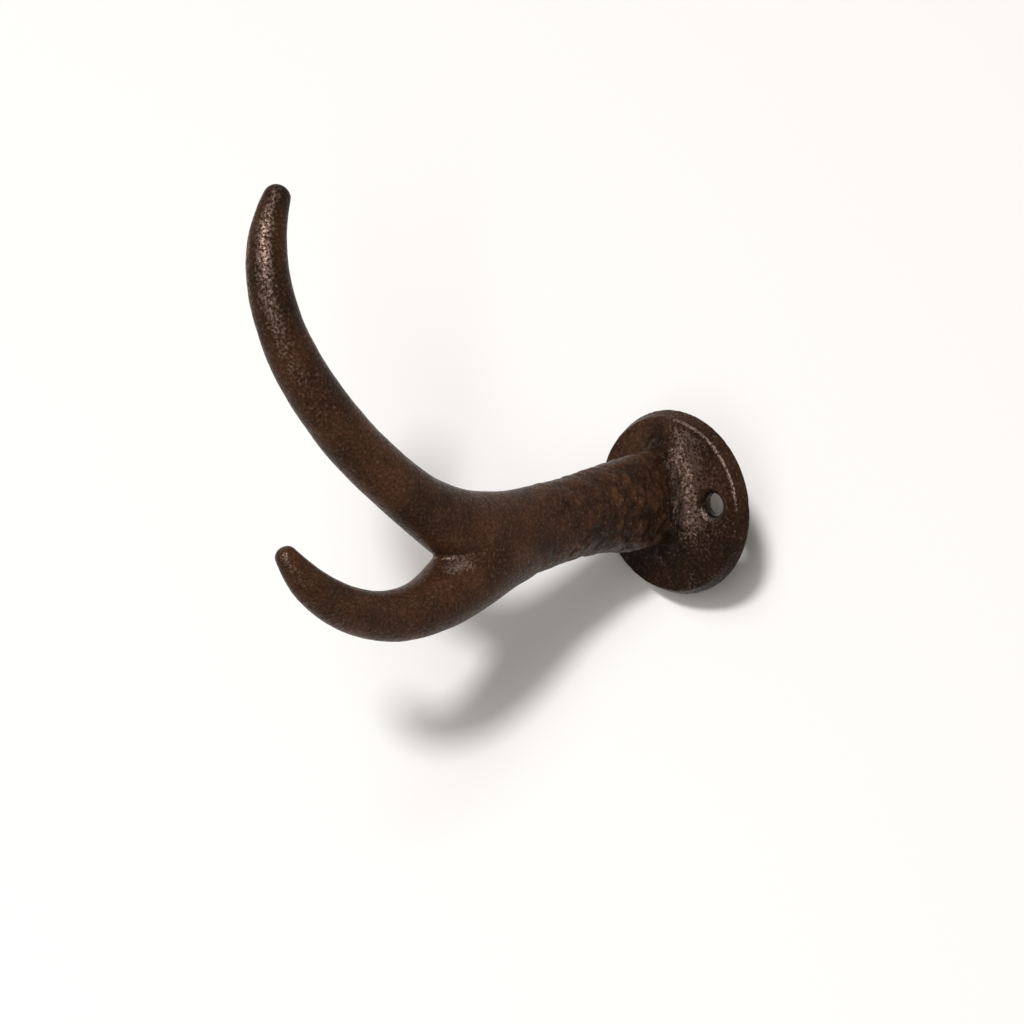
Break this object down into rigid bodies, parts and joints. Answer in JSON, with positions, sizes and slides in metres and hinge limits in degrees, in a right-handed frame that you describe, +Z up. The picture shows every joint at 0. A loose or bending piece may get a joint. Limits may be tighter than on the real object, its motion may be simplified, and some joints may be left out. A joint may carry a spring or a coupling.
{
  "type": "antler coat hook",
  "caption": "Cast iron wall hook shaped like a deer antler, with a long upswept beam over a short curled tine, on a round plate with countersunk screw holes.",
  "frame": {"origin": "centre of the wall plate's back face, on the wall, midway between the two screw holes", "axes": "+Y is the wall face's outward normal, into the wall, so the hook reaches out along -Y; +Z is up; +X runs along the row of screw holes, and the antler lies in the plane X = 0"},
  "size_m": [0.0446, 0.1277, 0.108],
  "materials": {
    "cast_iron": "dark brown antiqued sand casting with a rust brown bloom"
  },
  "bodies": {
    "root": {"antler_hook": "cast_iron"}
  },
  "joints": []
}
